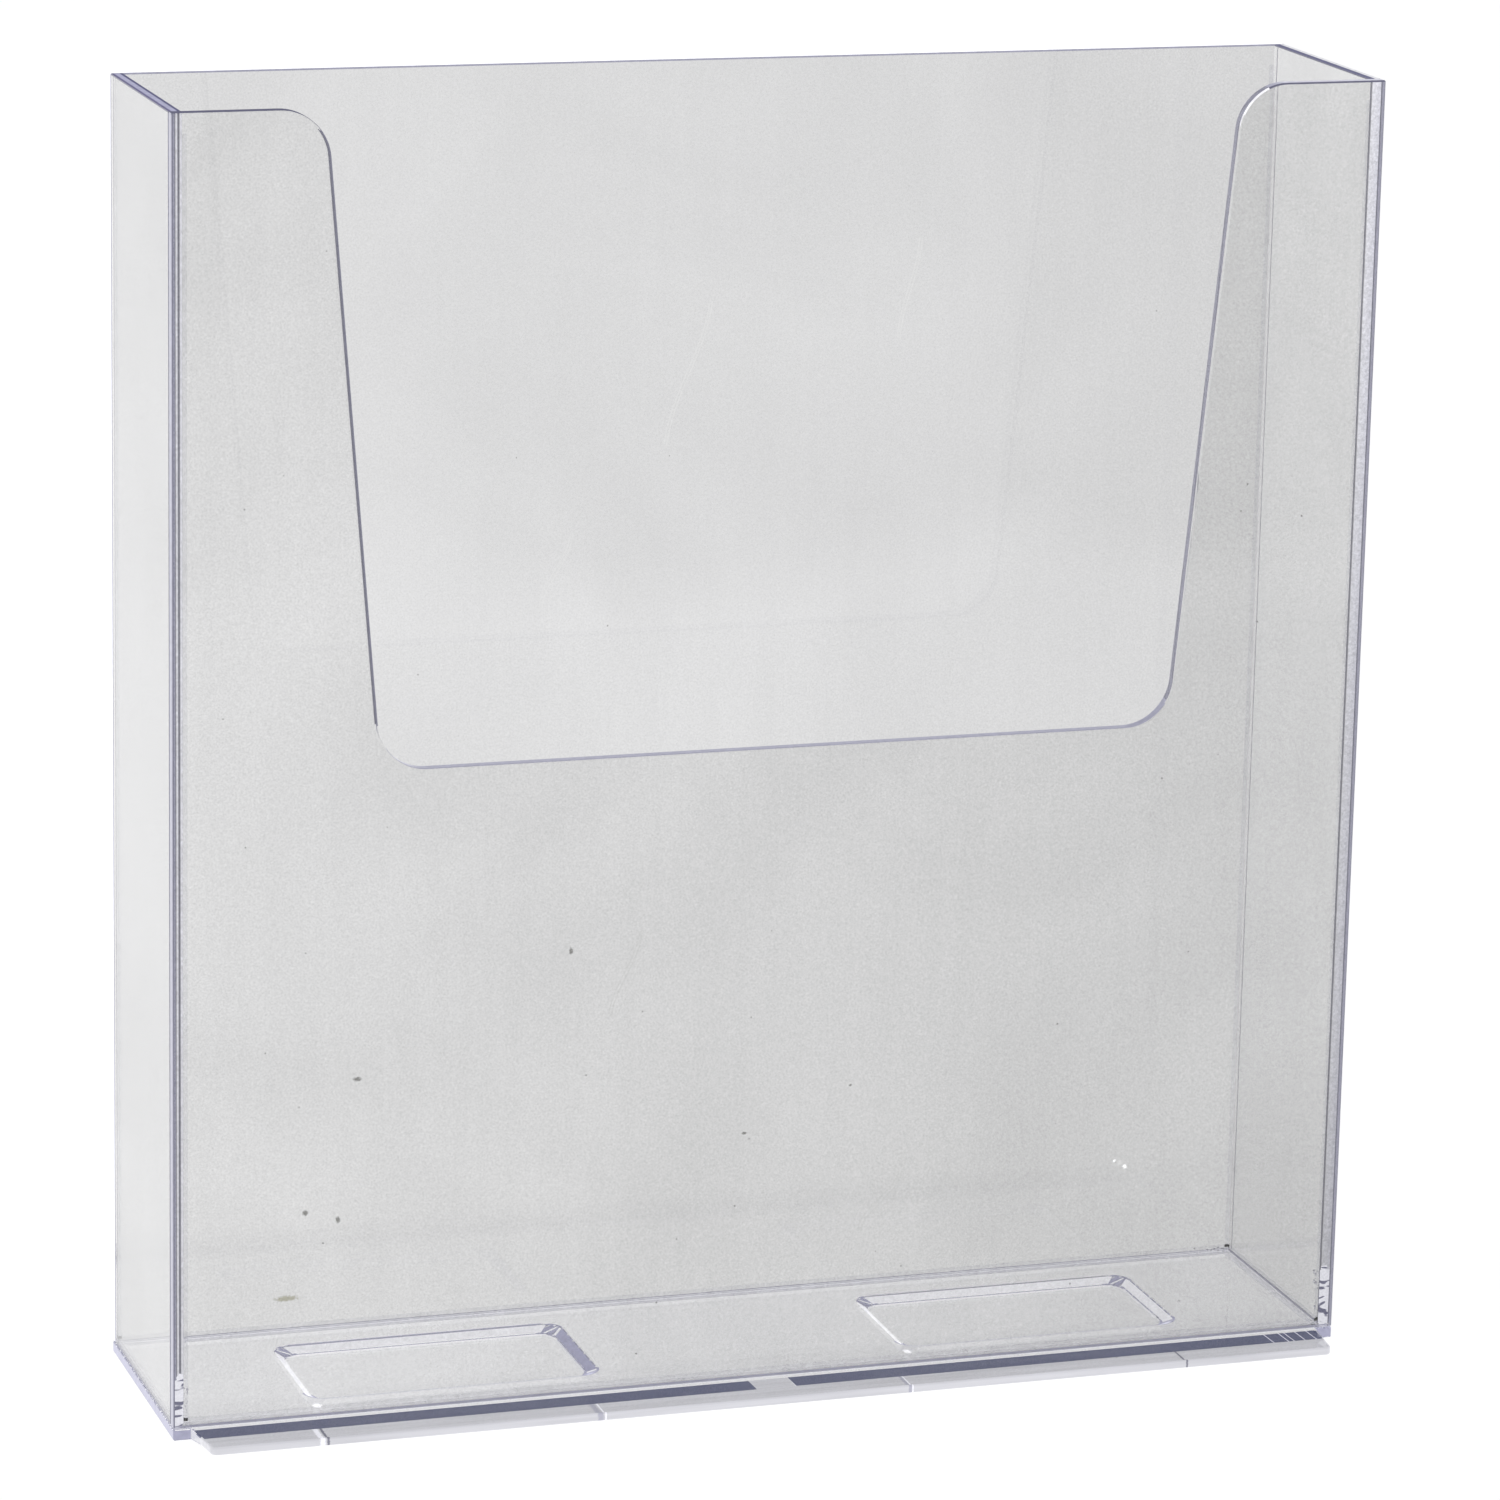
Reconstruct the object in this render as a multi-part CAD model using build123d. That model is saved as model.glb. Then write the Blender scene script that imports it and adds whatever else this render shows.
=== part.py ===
from build123d import *
import os

# Single-pocket brochure rack for letter-size leaflets, made of clear sheet.
# Four upright walls stand on a base plate and are cemented to it and to each
# other.  The base plate runs out in front of the pocket as a thin lip.
# Millimetres.  +X is to the right, +Y to the back and +Z up.  The origin is
# the middle of the whole footprint, on the surface that the rack stands on.

# ---- overall sizes -------------------------------------------------------
width = 235.0             # outside, left to right
body_depth = 52.5         # front face of the front panel to the rear face
height = 251.0            # from the table to the top edges

# ---- sheets --------------------------------------------------------------
wall_sheet = 2.4          # front, back and side panels
base_thickness = 2.3      # base plate under the walls
edge_break = 0.3          # rounding of the polished edges

# ---- lip in front of the pocket ------------------------------------------
lip_reach = 11.5          # how far it stands out from the front panel
lip_thickness = 1.6       # over its front half
lip_ramp = 5.3            # length of the slope under its root
lip_shoulder = 3.4        # step from the end of the base plate to the lip
lip_end_taper = 1.4       # how far each end draws in towards the front
lip_corner_radius = 1.2
gate_pad_width = 8.0      # solid pad left under the middle of the lip

# ---- cut-out in the front panel ------------------------------------------
low_front_height = 127.5  # from the table to the bottom of the cut-out
tab_width = 28.8          # top of each upright tab, out to the rack's side
tab_flare = 10.8          # how much wider a tab is at the cut-out's bottom
mouth_radius = 9.5        # top corner of each tab
notch_radius = 9.5        # bottom corners of the cut-out

# ---- recesses in the top of the base plate -------------------------------
recess_length = 58.5
recess_width = 31.0
recess_spacing = 119.5    # centre to centre
recess_depth = 1.2
recess_slope = 2.0        # how far its walls lean in
recess_radius = 4.0

# ---- cement in the inside corners ----------------------------------------
floor_bead = 1.6          # leg of the beads round the floor of the pocket
upright_bead = 0.8        # leg of the beads up the corners
bead_hollow = 0.36        # how near its corner a bead's face comes, as a share
bead_stop = 4.0           # the upright beads end this far below the top

# ---- places that follow from the sizes -----------------------------------
y_front = (lip_reach - body_depth) / 2       # front face of the front panel
y_back = y_front + body_depth                # rear face of the back panel
y_inner_front = y_front + wall_sheet
y_inner_back = y_back - wall_sheet
y_pocket = (y_inner_front + y_inner_back) / 2
x_outer = width / 2
x_inner = x_outer - wall_sheet
wall_height = height - base_thickness
near = 0.01               # how close counts as being at a place


def block(x0, x1, y0, y1, z0, z1):
    """A box from its lowest corner to its highest."""
    return Pos(x0, y0, z0) * Box(x1 - x0, y1 - y0, z1 - z0, align=(Align.MIN, Align.MIN, Align.MIN))


def outline(*points):
    """A flat face with straight sides through the points."""
    return make_face(Polyline(*points, close=True))


# ---- base plate ----------------------------------------------------------
def base_plate():
    """Plate under the whole rack, with the lip and two shallow recesses."""
    plate = block(-x_outer, x_outer, y_front, y_back, 0, base_thickness) + lip()
    for side in (-1, 1):
        plate -= Pos(side * recess_spacing / 2, y_pocket, base_thickness) * recess()
    return plate


def lip():
    """Thin front lip: its underside slopes up from the root, but for a pad in the middle."""
    rise = base_thickness - lip_thickness
    y_tip = y_front - lip_reach
    y_ramp = y_front - lip_ramp
    profile = outline(
        (y_front, 0), (y_ramp, rise), (y_tip, rise), (y_tip, base_thickness), (y_front, base_thickness)
    )
    top_corner = profile.vertices().sort_by(Axis.X)[:2].sort_by(Axis.Y)[-1]
    profile = fillet(top_corner, edge_break)
    strip = extrude(Plane.YZ * profile, x_outer, both=True)
    strip += block(-gate_pad_width / 2, gate_pad_width / 2, y_ramp, y_front, 0, rise)
    return strip & lip_plan()


def lip_plan():
    """Upright prism over the lip: both ends draw in towards the front."""
    root = x_outer - lip_shoulder
    tip = root - lip_end_taper
    y_tip = y_front - lip_reach
    plan = outline((-root, y_front), (-tip, y_tip), (tip, y_tip), (root, y_front))
    plan = fillet(plan.vertices().sort_by(Axis.Y)[:2], lip_corner_radius)
    return extrude(plan, base_thickness)


def recess():
    """Dish with leaning walls, hanging from its rim in the plane z = 0."""
    rim = RectangleRounded(recess_length, recess_width, recess_radius)
    floor = RectangleRounded(
        recess_length - 2 * recess_slope,
        recess_width - 2 * recess_slope,
        max(recess_radius - recess_slope, recess_radius / 4),
    )
    return loft([Pos(0, 0, -recess_depth) * floor, rim])


# ---- walls ---------------------------------------------------------------
def back_panel():
    """Full-width back, standing on the base plate."""
    panel = block(-x_outer, x_outer, y_inner_back, y_back, base_thickness, height)
    return fillet(long_top_edges(panel, Axis.X), edge_break)


def side_panel(side):
    """Side wall between the front and back panels: side is -1 left, 1 right."""
    x0, x1 = sorted((side * x_inner, side * x_outer))
    panel = block(x0, x1, y_inner_front, y_inner_back, base_thickness, height)
    return fillet(long_top_edges(panel, Axis.Y), edge_break)


def long_top_edges(panel, along):
    """The two edges of a panel's top face that run along an axis."""
    return panel.faces().sort_by(Axis.Z)[-1].edges().filter_by(along)


def front_panel():
    """Full-width front with its finger cut-out, standing on the base plate."""
    sheet = Pos(0, base_thickness + wall_height / 2) * Rectangle(width, wall_height) - cut_out()
    mouth = x_outer - tab_width
    tips = [v for v in sheet.vertices() if v.Y > height - near and abs(abs(v.X) - mouth) < near]
    sheet = fillet(tips, mouth_radius)
    panel = extrude(Plane.XZ.offset(-y_inner_front) * sheet, wall_sheet)
    return fillet([e for e in panel.edges() if is_polished(e)], edge_break)


def cut_out():
    """Cut-out, open at the top, seen from the front with its height as Y."""
    mouth = x_outer - tab_width
    floor = mouth - tab_flare
    shape = outline((-mouth, height), (-floor, low_front_height), (floor, low_front_height), (mouth, height))
    return fillet(shape.vertices().sort_by(Axis.Y)[:2], notch_radius)


def is_polished(edge):
    """An edge of the front or rear face along the tabs' tops or the cut-out."""
    middle = edge.center()
    on_a_face = abs(middle.Y - y_front) < near or abs(middle.Y - y_inner_front) < near
    on_the_rim = abs(middle.X) < x_outer - near and middle.Z > base_thickness + near
    return on_a_face and on_the_rim


# ---- cement --------------------------------------------------------------
def bead(corner, inward, along, length, leg):
    """Bead from a corner point: it lies inward on one face and up the other."""
    section = make_face(
        [
            Line((0, 0), (leg, 0)),
            ThreePointArc((leg, 0), (bead_hollow * leg, bead_hollow * leg), (0, leg)),
            Line((0, leg), (0, 0)),
        ]
    )
    return extrude(Plane(origin=corner, x_dir=inward, z_dir=along) * section, length)


def floor_beads():
    """The four beads round the pocket's floor, mitred where they meet."""
    z = base_thickness
    run, reach = 2 * x_inner, y_inner_back - y_inner_front
    corners = {
        "front": bead((-x_inner, y_inner_front, z), (0, 1, 0), (1, 0, 0), run, floor_bead),
        "right": bead((x_inner, y_inner_front, z), (-1, 0, 0), (0, 1, 0), reach, floor_bead),
        "back": bead((x_inner, y_inner_back, z), (0, -1, 0), (-1, 0, 0), run, floor_bead),
        "left": bead((-x_inner, y_inner_back, z), (1, 0, 0), (0, -1, 0), reach, floor_bead),
    }
    outer = [
        (-x_inner, y_inner_front), (x_inner, y_inner_front), (x_inner, y_inner_back), (-x_inner, y_inner_back)
    ]
    leg = floor_bead
    inner = [(x - leg if x > 0 else x + leg, y + leg if y < y_pocket else y - leg) for x, y in outer]
    beads = {}
    for i, (place, solid) in enumerate(corners.items()):
        after = (i + 1) % 4
        mitre = outline(outer[i], outer[after], inner[after], inner[i])
        beads[place] = solid & Pos(0, 0, z) * extrude(mitre, leg)
    return beads


def upright_beads(floor):
    """The four beads up the inside corners, standing on the floor's beads."""
    z = base_thickness
    length = wall_height - bead_stop
    places = {
        "front_left": ((-x_inner, y_inner_front, z), (1, 0, 0)),
        "front_right": ((x_inner, y_inner_front, z), (0, 1, 0)),
        "back_right": ((x_inner, y_inner_back, z), (-1, 0, 0)),
        "back_left": ((-x_inner, y_inner_back, z), (0, -1, 0)),
    }
    beads = {}
    for place, (corner, inward) in places.items():
        beads[place] = bead(corner, inward, (0, 0, 1), length, upright_bead)
        for neighbour in place.split("_"):
            beads[place] -= floor[neighbour]
    return beads


# ---- the pieces ----------------------------------------------------------
def pieces():
    """Every piece of the rack by its node name."""
    nodes = {
        "base_plate": base_plate(),
        "back_panel": back_panel(),
        "left_side_panel": side_panel(-1),
        "right_side_panel": side_panel(1),
        "front_panel": front_panel(),
    }
    floor = floor_beads()
    for place, solid in {**floor, **upright_beads(floor)}.items():
        kind = "floor" if place in floor else "corner"
        nodes[f"cement_{kind}_{place}"] = solid
    return nodes


if __name__ == "__main__":
    os.makedirs("parts", exist_ok=True)
    for name, shape in pieces().items():
        solid = shape.solids()[0]
        solid.label = name
        export_step(solid, f"parts/{name}.step")
        print(f"{name}: {solid.volume:.1f} mm3, {len(shape.solids())} solid, valid {solid.is_valid}")
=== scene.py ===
"""Clear brochure rack: five polished sheets, the cement in their joints, and a plain studio."""
import math
import random

import bmesh
import bpy
from bpy.props import FloatProperty, FloatVectorProperty, IntProperty, PointerProperty
from mathutils import Matrix, Vector


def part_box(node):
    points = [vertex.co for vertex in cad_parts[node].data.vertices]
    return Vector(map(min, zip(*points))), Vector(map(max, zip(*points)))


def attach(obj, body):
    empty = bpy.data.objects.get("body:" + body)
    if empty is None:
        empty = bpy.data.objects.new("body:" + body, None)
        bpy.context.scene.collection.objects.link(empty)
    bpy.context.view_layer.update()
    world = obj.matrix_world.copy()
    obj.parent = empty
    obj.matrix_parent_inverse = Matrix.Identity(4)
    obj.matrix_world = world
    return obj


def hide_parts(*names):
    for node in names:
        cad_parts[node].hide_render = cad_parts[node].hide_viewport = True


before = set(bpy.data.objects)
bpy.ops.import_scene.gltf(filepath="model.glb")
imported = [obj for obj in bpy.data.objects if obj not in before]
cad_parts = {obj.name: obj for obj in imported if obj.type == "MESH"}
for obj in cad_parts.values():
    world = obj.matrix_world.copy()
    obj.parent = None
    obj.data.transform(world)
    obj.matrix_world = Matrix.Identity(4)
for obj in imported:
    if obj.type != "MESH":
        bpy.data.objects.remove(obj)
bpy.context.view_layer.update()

bl_info = {
    "name": "Clear Brochure Rack",
    "version": (1, 0, 0),
    "blender": (4, 5, 0),
    "location": "3D View > Sidebar > Rack",
    "description": "Builds a cemented clear-sheet brochure rack on its packed frame, with a studio",
    "category": "Object",
}

SIDE_NODES = ("left_side_panel", "right_side_panel")
FLOOR_BEADS = ("front", "right", "back", "left")
CORNER_BEADS = ("front_left", "front_right", "back_right", "back_left")
SHEET, EDGE, ARRIS = range(3)                 # material places on every sheet
LIP_EDGE, WALL, DEEP, STRIP = range(3, 7)     # and more on the base plate
TOP, END = 3, 4                               # and more on the side panels
RIM, GLINT = 4, 5                             # and on the front panel, after TOP
NEAR = 0.0001                                 # how close counts as being at a place
MARGIN = 0.001                                # room that a wider test of place leaves
SQUARE, FLAT = 0.9, 0.98                      # how squarely a face looks along an axis
ASIDE = 0.2                                   # and how little it does when it looks past

plate_low, plate_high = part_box("base_plate")
front_low, front_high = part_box("front_panel")
back_low, back_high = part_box("back_panel")
right_low, right_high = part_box("right_side_panel")
bead_low, bead_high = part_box("cement_floor_front")


# ---- sizes and colours a user would change --------------------------------
def a_length(name, default, description):
    """A length that a user can change, in metres."""
    return FloatProperty(name=name, description=description, default=default, unit="LENGTH")


def an_angle(name, degrees, description):
    """An angle that a user can change, given in degrees."""
    return FloatProperty(name=name, description=description, default=math.radians(degrees), subtype="ANGLE")


def a_colour(name, default, description):
    """A colour that a user can change."""
    return FloatVectorProperty(name=name, description=description, default=default, subtype="COLOR", size=3)


class RackSizes(bpy.types.PropertyGroup):
    """Sizes of the sheets, the lip, the recesses and the cement"""

    joint_gap: a_length("Joint Gap", 0.00003, "Air left between two cemented faces")
    edge_break: a_length("Edge Break", 0.0003, "Rounding of the polished edges")
    low_front: a_length("Low Front", 0.1275, "Height of the cut-out's bottom")
    tab_width: a_length("Tab Width", 0.0288, "Top of each upright tab")
    tab_flare: a_length("Tab Flare", 0.0108, "How much wider a tab is low down")
    corner_radius: a_length("Corner Radius", 0.0095, "Corners of the cut-out and the tabs")
    lip_thickness: a_length("Lip Thickness", 0.0016, "Front half of the lip")
    lip_ramp: a_length("Lip Ramp", 0.0053, "Length of the slope under the lip's root")
    lip_shoulder: a_length("Lip Shoulder", 0.0034, "Step from the plate's end to the lip")
    lip_taper: a_length("Lip Taper", 0.0014, "How far the lip's ends draw in")
    lip_corner: a_length("Lip Corner", 0.0012, "Corner radius at the lip's tip")
    gate_pad: a_length("Gate Pad", 0.008, "Width of the pad under the lip's middle")
    # The lip's dark strip is painted shade, a dark glow on the underside at the lip's root, between these
    # two lengths.
    strip_reach: a_length("Strip Reach", 0.0050, "Front of the lip's dark strip")
    strip_back: a_length("Strip Back", 0.0005, "How far the strip runs under the wall")
    recess_length: a_length("Recess Length", 0.0585, "Rim of a recess, left to right")
    recess_width: a_length("Recess Width", 0.031, "Rim of a recess, front to back")
    recess_spacing: a_length("Recess Spacing", 0.1195, "Centre to centre")
    recess_depth: a_length("Recess Depth", 0.0012, "Depth below the plate's top")
    recess_slope: a_length("Recess Slope", 0.002, "How far its walls lean in")
    recess_radius: a_length("Recess Radius", 0.004, "Corners of its rim")
    bead_waver: a_length("Bead Waver", 0.00022, "Unevenness of the cement's face")
    bubble_size: a_length("Bubble Size", 0.0005, "Radius of the largest trapped bubble")
    bubble_seed: IntProperty(name="Bubble Seed", description="Scatter of the bubbles", default=4)


class RackFinish(bpy.types.PropertyGroup):
    """Colours of the clear sheet, its edges and the cement"""

    # The four sheets are one clear plastic: each tint carries its faint grey, and where the tints differ
    # they are painted shade, darkest on the back panel.
    front_tint: a_colour("Front Tint", (0.94, 0.94, 0.938), "Front panel")
    back_tint: a_colour("Back Tint", (0.742, 0.742, 0.741), "Back panel")
    side_tint: a_colour("Side Tint", (0.885, 0.885, 0.885), "Side panels")
    base_tint: a_colour("Base Tint", (0.985, 0.985, 0.99), "Base plate")
    # The edges are painted: each glow is light painted into an edge's emission, the dark glows paint shade,
    # and the strip glow paints the shade under the lip.
    edge_tint: a_colour("Edge Tint", (0.20, 0.20, 0.23), "Polished edges")
    edge_glow: a_colour("Edge Glow", (0.20, 0.20, 0.29), "Light the edges carry")
    deep_glow: a_colour("Deep Glow", (0.34, 0.34, 0.47), "Edges of the base plate")
    arris_tint: a_colour("Arris Tint", (0.10, 0.10, 0.13), "Rounded arrises")
    cement_tint: a_colour("Cement Tint", (0.96, 0.96, 0.98), "Set cement")
    strip_glow: a_colour("Strip Glow", (0.085, 0.095, 0.165), "Slope under the lip")
    pale_glow: a_colour("Pale Glow", (0.56, 0.56, 0.58), "Pale edges and recess walls")
    right_shade: FloatProperty(
        name="Right Shade", description="How much darker the sheets are at their right ends", default=0.09
    )
    haze: FloatProperty(name="Haze", description="Depth of the cloudy haze on the sheets", default=0.075)
    grain: FloatProperty(name="Grain", description="Depth of the fine grain on the sheets", default=0.3)
    refraction: FloatProperty(name="Refraction", description="Index of the clear sheet", default=1.49)


class RackStudio(bpy.types.PropertyGroup):
    """Floor, light and camera"""

    floor_side: a_length("Floor Side", 16.0, "Side of the floor")
    floor_drop: a_length("Floor Drop", 0.0001, "Air under the base plate")
    floor_light: FloatProperty(name="Floor Light", description="Brightness of the lit floor", default=0.97)
    low_sky: a_colour("Low Sky", (0.95, 0.95, 0.96), "Studio near the horizon")
    high_sky: a_colour("High Sky", (0.22, 0.22, 0.29), "Studio overhead")
    soft_light: FloatProperty(name="Soft Light", description="Power of the light, in watts", default=5.0)
    camera_place: FloatVectorProperty(
        name="Camera Place", description="Where the camera stands", subtype="TRANSLATION", unit="LENGTH",
        size=3, default=(-0.3759, -1.1502, 0.4249),
    )
    camera_azimuth: an_angle("Azimuth", 18.11, "Turn to the left of straight on")
    camera_elevation: an_angle("Elevation", 14.05, "How far it looks down")
    camera_roll: an_angle("Roll", 1.18, "Tilt")
    camera_lens: FloatProperty(name="Lens", description="Focal length in millimetres", default=156.3)
    light_bounces: IntProperty(name="Light Bounces", description="How often light may turn", default=40)


# ---- modelling by hand ----------------------------------------------------
def go_to(mode):
    """Changes to edit mode or object mode."""
    bpy.ops.object.mode_set(mode=mode)


def pick(*pieces):
    """Selects only these pieces, and makes the first of them active."""
    bpy.ops.object.select_all(action="DESELECT")
    for piece in pieces:
        piece.select_set(True)
    bpy.context.view_layer.objects.active = pieces[0]


def add_box(name, low, high):
    """A mesh box from its lowest corner to its highest, as the only selected object."""
    bpy.ops.object.select_all(action="DESELECT")
    bpy.ops.mesh.primitive_cube_add(size=1, location=(Vector(low) + Vector(high)) / 2)
    box = bpy.context.active_object
    box.name = box.data.name = name
    box.scale = Vector(high) - Vector(low)
    bpy.ops.object.transform_apply(location=True, rotation=True, scale=True)
    return box


def select(piece, kind, test):
    """In edit mode, selects only the faces, edges or vertices that pass the test; returns how many."""
    bpy.ops.mesh.select_mode(type={"faces": "FACE", "edges": "EDGE", "verts": "VERT"}[kind])
    bpy.ops.mesh.select_all(action="DESELECT")
    mesh = bmesh.from_edit_mesh(piece.data)
    chosen = [part for part in getattr(mesh, kind) if test(part)]
    for part in chosen:
        part.select_set(True)
    mesh.select_flush_mode()
    bmesh.update_edit_mesh(piece.data)
    return len(chosen)


def middle(edge):
    """The middle of an edge."""
    return (edge.verts[0].co + edge.verts[1].co) / 2


def runs_along(edge, axis):
    """True if an edge is parallel to an axis."""
    direction = (edge.verts[1].co - edge.verts[0].co).normalized()
    return abs(direction[axis]) > 0.999


def bisect(place, normal, **options):
    """Cuts the whole mesh by a plane."""
    bpy.ops.mesh.select_all(action="SELECT")
    bpy.ops.mesh.bisect(plane_co=place, plane_no=normal, **options)


def finish_with(piece, kind, **settings):
    """Adds a modifier to the piece, sets it and applies it."""
    modifier = piece.modifiers.new(kind.title(), kind)
    for name, value in settings.items():
        setattr(modifier, name, value)
    bpy.context.view_layer.objects.active = piece
    bpy.ops.object.modifier_apply(modifier=modifier.name)


def break_edges(piece, width):
    """Rounds the sharp edges as a flame polish does."""
    finish_with(
        piece, "BEVEL", width=width, segments=2, limit_method="ANGLE", angle_limit=math.radians(24),
        use_clamp_overlap=True,
    )


def cut_with(piece, cutter, operation="DIFFERENCE"):
    """Cuts the piece by another mesh, or joins it on, and removes that mesh."""
    finish_with(piece, "BOOLEAN", object=cutter, operation=operation, solver="EXACT")
    bpy.data.meshes.remove(cutter.data)


def close_up(piece):
    """Merges doubles, turns the faces outwards and smooths only the gentle curves."""
    pick(piece)
    go_to("EDIT")
    bpy.ops.mesh.select_all(action="SELECT")
    bpy.ops.mesh.remove_doubles(threshold=0.000002)
    bpy.ops.mesh.normals_make_consistent(inside=False)
    go_to("OBJECT")
    bpy.ops.object.shade_smooth_by_angle(angle=math.radians(5.4))


def hand_over(piece, node, slot, *finishes):
    """Gives the piece its finishes and its body, and hides the node that it stands for; the slot is not
    used.
    """
    for name in finishes:
        piece.data.materials.append(bpy.data.materials[name])
    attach(piece, "root")
    if node:
        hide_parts(node)


def mark_sheet(piece, across, is_clear):
    """Sorts a sheet's faces into its clear faces, its open edges and their arrises."""
    for face in piece.data.polygons:
        facing = abs(face.normal[across])
        if facing > FLAT or is_clear(face.center, face.normal):
            face.material_index = SHEET
        else:
            face.material_index = EDGE if facing < ASIDE else ARRIS


def mark_large_faces(piece):
    """Makes sure that the two large faces of a front or back sheet are clear."""
    for face in piece.data.polygons:
        if abs(face.normal.y) > FLAT:
            face.material_index = SHEET


def is_underside(place, normal):
    """True for the arrises at the foot of a wall, which the cement has made clear."""
    return place.z < front_low.z + MARGIN and normal.z > -SQUARE


# ---- shader parts ---------------------------------------------------------
def connect(tree, node, inputs):
    """Links each input that is given a socket, and sets any other."""
    for name, value in inputs.items():
        if isinstance(value, bpy.types.NodeSocket):
            tree.links.new(value, node.inputs[name])
        else:
            node.inputs[name].default_value = value


def add_node(tree, kind, inputs=None, **settings):
    """A new node with its settings and its inputs."""
    node = tree.nodes.new("ShaderNode" + kind)
    for name, value in settings.items():
        setattr(node, name, value)
    connect(tree, node, inputs or {})
    return node


def labelled(values):
    """Values by the names that their sockets have."""
    return {name.replace("_", " ").title(): value for name, value in values.items()}


def compute(tree, operation, *values):
    """The result of a sum on sockets and numbers."""
    return add_node(tree, "Math", dict(enumerate(values)), operation=operation).outputs["Value"]


def compute_vector(tree, operation, *values):
    """The result of a sum on places; a length is a single value."""
    node = add_node(tree, "VectorMath", dict(enumerate(values)), operation=operation)
    return node.outputs["Value" if operation == "LENGTH" else "Vector"]


def remap(tree, value, *ends):
    """A value moved from a low and a high end to another low and high end, or to 0 and 1."""
    names = ("From Min", "From Max", "To Min", "To Max")
    return add_node(tree, "MapRange", {"Value": value, **dict(zip(names, ends))}).outputs["Result"]


def noise(tree, vector, scale, **shape):
    """The value of a noise at a place."""
    return add_node(tree, "TexNoise", {"Vector": vector, "Scale": scale, **labelled(shape)}).outputs["Fac"]


def drawn_out(tree, vector, scale):
    """A place with its axes scaled, which draws a pattern out."""
    return add_node(tree, "Mapping", {"Vector": vector, "Scale": scale}).outputs["Vector"]


def split(tree, vector):
    """The X, Y and Z of a place."""
    return add_node(tree, "SeparateXYZ", {"Vector": vector}).outputs


def ramp(tree, value, stops):
    """A colour that runs through stops, each a position and a colour."""
    node = add_node(tree, "ValToRGB", {"Fac": value})
    while len(node.color_ramp.elements) < len(stops):
        node.color_ramp.elements.new(0.5)
    for element, (position, colour) in zip(node.color_ramp.elements, stops):
        element.position, element.color = position, (*colour, 1)
    return node.outputs["Color"]


def blend(tree, mask, plain, marked, mode="MIX"):
    """A colour that goes from plain to marked where the mask says so."""
    plain, marked = (c if isinstance(c, bpy.types.NodeSocket) else (*c, 1) for c in (plain, marked))
    inputs = {"Factor": mask, 6: plain, 7: marked}
    return add_node(tree, "Mix", inputs, data_type="RGBA", blend_type=mode).outputs[2]


def bump(tree, height, strength, distance):
    """A normal that a height has made uneven."""
    inputs = {"Height": height, "Strength": strength, "Distance": distance}
    return add_node(tree, "Bump", inputs).outputs["Normal"]


def scaled(colour, share):
    """A colour made lighter or darker."""
    return [c * share for c in colour]


def new_group(name, inputs, outputs):
    """A node group that reads a place and named values: itself, what it is given, and its end."""
    group = bpy.data.node_groups.new(name, "ShaderNodeTree")
    group.interface.new_socket("Vector", in_out="INPUT", socket_type="NodeSocketVector")
    for label, value in inputs.items():
        kind = "NodeSocketVector" if isinstance(value, tuple) else "NodeSocketFloat"
        group.interface.new_socket(label, in_out="INPUT", socket_type=kind).default_value = value
    for label in outputs:
        group.interface.new_socket(label, in_out="OUTPUT", socket_type="NodeSocketFloat")
    given = group.nodes.new("NodeGroupInput").outputs
    return group, given, group.nodes.new("NodeGroupOutput")


def place_group(tree, name, vector, **values):
    """The outputs of the named group, placed in a material with its own values."""
    inputs = {"Vector": vector, **labelled(values)}
    return add_node(tree, "Group", inputs, node_tree=bpy.data.node_groups[name]).outputs


def haze_group():
    """Handling haze: broad cloudy smears and fine wiped streaks, as one mask and one height."""
    group, given, end = new_group(
        "Handling Haze", {"Cloud Size": 11.0, "Streak Size": 260.0}, ("Mask", "Height")
    )
    cloud = noise(group, given["Vector"], given["Cloud Size"], detail=4.0, roughness=0.5, distortion=1.4)
    wiped = drawn_out(group, given["Vector"], (1.0, 1.0, 0.06))
    streak = noise(group, wiped, given["Streak Size"], detail=3.0, roughness=0.6)
    both = compute(group, "MULTIPLY_ADD", cloud, 0.78, compute(group, "MULTIPLY", streak, 0.22))
    connect(group, end, {"Mask": remap(group, both, 0.34, 0.64), "Height": cloud})


def dust_group():
    """Dust: sparse dark specks, each in its own cell, as a mask."""
    group, given, end = new_group("Dust", {"Cells": 300.0, "Speck Size": 0.12, "Share": 0.05}, ("Mask",))
    cells = add_node(group, "TexVoronoi", {"Vector": given["Vector"], "Scale": given["Cells"]}).outputs
    near = compute(group, "LESS_THAN", cells["Distance"], given["Speck Size"])
    chance = add_node(group, "SeparateColor", {"Color": cells["Color"]}).outputs["Red"]
    kept = compute(group, "LESS_THAN", chance, given["Share"])
    connect(group, end, {"Mask": compute(group, "MULTIPLY", near, kept)})


def polish_group():
    """Polish lines: fine ripples, drawn out along an axis where a stretch is given."""
    group, given, end = new_group(
        "Polish Lines", {"Lines": 900.0, "Stretch": (1, 1, 1)}, ("Mask", "Height")
    )
    drawn = drawn_out(group, given["Vector"], given["Stretch"])
    fine = noise(group, drawn, given["Lines"], detail=2.0, roughness=0.5)
    connect(group, end, {"Mask": remap(group, fine, 0.3, 0.7), "Height": fine})


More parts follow.
